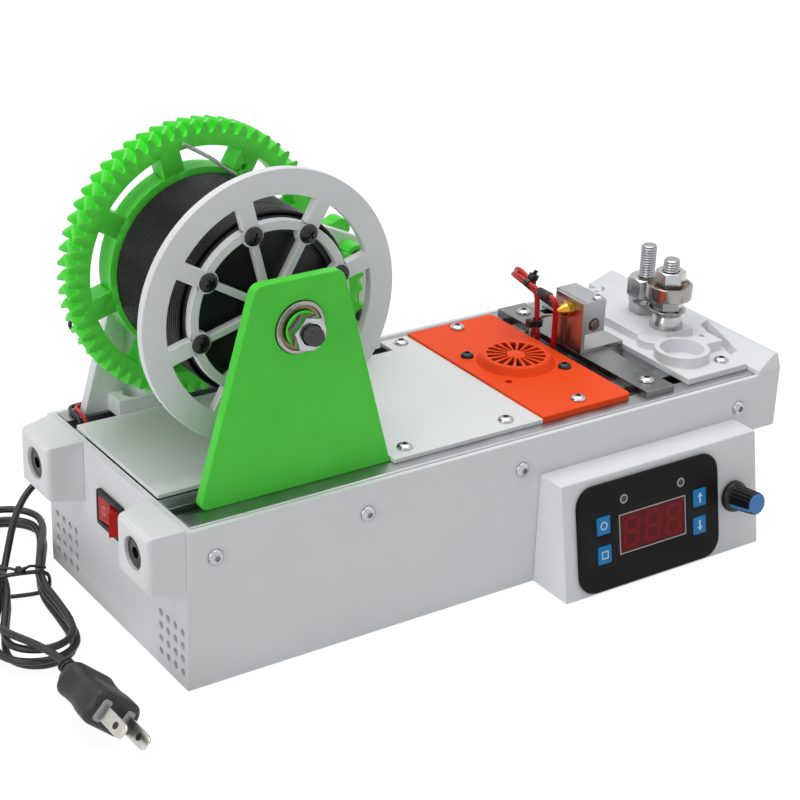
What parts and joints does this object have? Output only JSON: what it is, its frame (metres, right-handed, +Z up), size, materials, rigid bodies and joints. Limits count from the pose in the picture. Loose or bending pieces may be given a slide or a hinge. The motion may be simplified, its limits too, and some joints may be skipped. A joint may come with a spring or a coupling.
{
  "type": "filament extruder",
  "caption": "Desk machine that pulls cut bottle strip through a heated nozzle and winds the filament on a geared spool, with cutter, fan, control box and mains cord.",
  "frame": {"origin": "middle of the housing's underside", "axes": "X along the length from the vented end to the cutter end, Y from the control box's side to the back, Z up"},
  "size_m": [0.37, 0.2008, 0.2019],
  "materials": {
    "white_print": "matte white printed plastic with fine layer lines",
    "pale_sheet": "smooth pale sheet",
    "green_print": "matte lime green printed plastic",
    "orange_print": "matte orange printed plastic",
    "black_print": "matte black printed plastic",
    "black_plastic": "moulded black plastic",
    "rail_alloy": "anodised extrusion",
    "cast_alloy": "milled block",
    "zinc_steel": "zinc plated steel",
    "black_steel": "black oxide steel",
    "bearing_steel": "ground steel",
    "sheet_steel": "bent sheet",
    "brass": "turned brass",
    "red_wire": "silicone wire",
    "two_wires": "one black and one red wire",
    "filament": "dark drawn filament",
    "filament_end": "clear drawn filament",
    "display_red": "dark red window",
    "blue_key": "blue key",
    "rocker_red": "red rocker",
    "cord_black": "black cord sheath"
  },
  "bodies": {
    "frame": {"housing": "white_print", "front_rail": "rail_alloy", "rear_rail": "rail_alloy", "end_blocks": "white_print", "side_screws": "zinc_steel", "rail_nuts": "zinc_steel", "cover_plate": "pale_sheet", "fan_plate": "orange_print", "hotend_bar": "cast_alloy", "plate_screws": "zinc_steel", "fan_screws": "black_steel", "fan_frame": "black_plastic", "hotend_bracket": "sheet_steel", "heater_block": "cast_alloy", "nozzle": "brass", "heater_cartridge": "zinc_steel", "heater_wires": "red_wire", "wire_ties": "black_plastic", "end_platform": "white_print", "guide_bolt": "zinc_steel", "cutter_bolt": "zinc_steel", "bolt_nuts": "zinc_steel", "cutter_bearing_inner": "bearing_steel", "front_bracket": "green_print", "rear_bracket": "white_print", "bracket_screws": "black_steel", "bearing_rings": "bearing_steel", "gear_motor": "cast_alloy", "motor_clamp": "green_print", "motor_cradle": "green_print", "motor_wires": "two_wires", "control_box": "white_print", "controller": "black_plastic", "display": "display_red", "potentiometer": "cast_alloy", "switch_frame": "black_plastic", "cord_gland": "black_plastic", "cord_lead": "cord_black", "cord_hank": "cord_black", "cord_tail": "cord_black", "cord_tie": "cord_black", "plug": "cord_black"},
    "fan_rotor": {"fan_impeller": "black_plastic"},
    "cutter_ring": {"cutter_bearing_outer": "bearing_steel"},
    "spool": {"bearing_cores": "bearing_steel", "spool_axle": "zinc_steel", "spool_spacers": "black_print", "spool_flange": "white_print", "flange_screws": "black_steel", "spool_core": "black_print", "filament_winding": "filament", "filament_tail": "filament_end", "spool_gear": "green_print"},
    "pinion_shaft": {"pinion": "green_print"},
    "set_key": {"key_set": "blue_key"},
    "enter_key": {"key_enter": "blue_key"},
    "up_key": {"key_up": "blue_key"},
    "down_key": {"key_down": "blue_key"},
    "speed_knob": {"knob": "black_plastic"},
    "rocker": {"switch_rocker": "rocker_red"}
  },
  "joints": [
    {"name": "spool_spin", "type": "hinge", "parent": "frame", "child": "spool", "pos_m": [-0.0989, -0.0007, 0.1419], "axis": [0, 1, 0], "continuous": true},
    {"name": "pinion_spin", "type": "hinge", "parent": "frame", "child": "pinion_shaft", "pos_m": [-0.03132, 0.03605, 0.1169], "axis": [0, 1, 0], "continuous": true},
    {"name": "fan_spin", "type": "hinge", "parent": "frame", "child": "fan_rotor", "pos_m": [0.0494, 0.0003, 0.067], "axis": [0, 0, 1], "continuous": true},
    {"name": "cutter_spin", "type": "hinge", "parent": "frame", "child": "cutter_ring", "pos_m": [0.1329, -0.0078, 0.0977], "axis": [0, 0, 1], "continuous": true},
    {"name": "knob_turn", "type": "hinge", "parent": "frame", "child": "speed_knob", "pos_m": [0.1147, -0.08248, 0.02598], "axis": [0, -0.9839, 0.1787], "range_deg": [-150, 150]},
    {"name": "rocker_tilt", "type": "hinge", "parent": "frame", "child": "rocker", "pos_m": [-0.1548, 0.0008, 0.0505], "axis": [0, 0, 1], "range_deg": [0, 24]},
    {"name": "set_press", "type": "slide", "parent": "frame", "child": "set_key", "axis": [0, 0.9839, -0.1787], "range_m": [0, 0.0004], "stiffness_N_per_m": 600, "springref_m": -0.0005},
    {"name": "enter_press", "type": "slide", "parent": "frame", "child": "enter_key", "axis": [0, 0.9839, -0.1787], "range_m": [0, 0.0004], "stiffness_N_per_m": 600, "springref_m": -0.0005},
    {"name": "up_press", "type": "slide", "parent": "frame", "child": "up_key", "axis": [0, 0.9839, -0.1787], "range_m": [0, 0.0004], "stiffness_N_per_m": 600, "springref_m": -0.0005},
    {"name": "down_press", "type": "slide", "parent": "frame", "child": "down_key", "axis": [0, 0.9839, -0.1787], "range_m": [0, 0.0004], "stiffness_N_per_m": 600, "springref_m": -0.0005}
  ],
  "couplings": [
    {"joint": "pinion_spin", "follows": "spool_spin", "ratio": -4.1429}
  ]
}
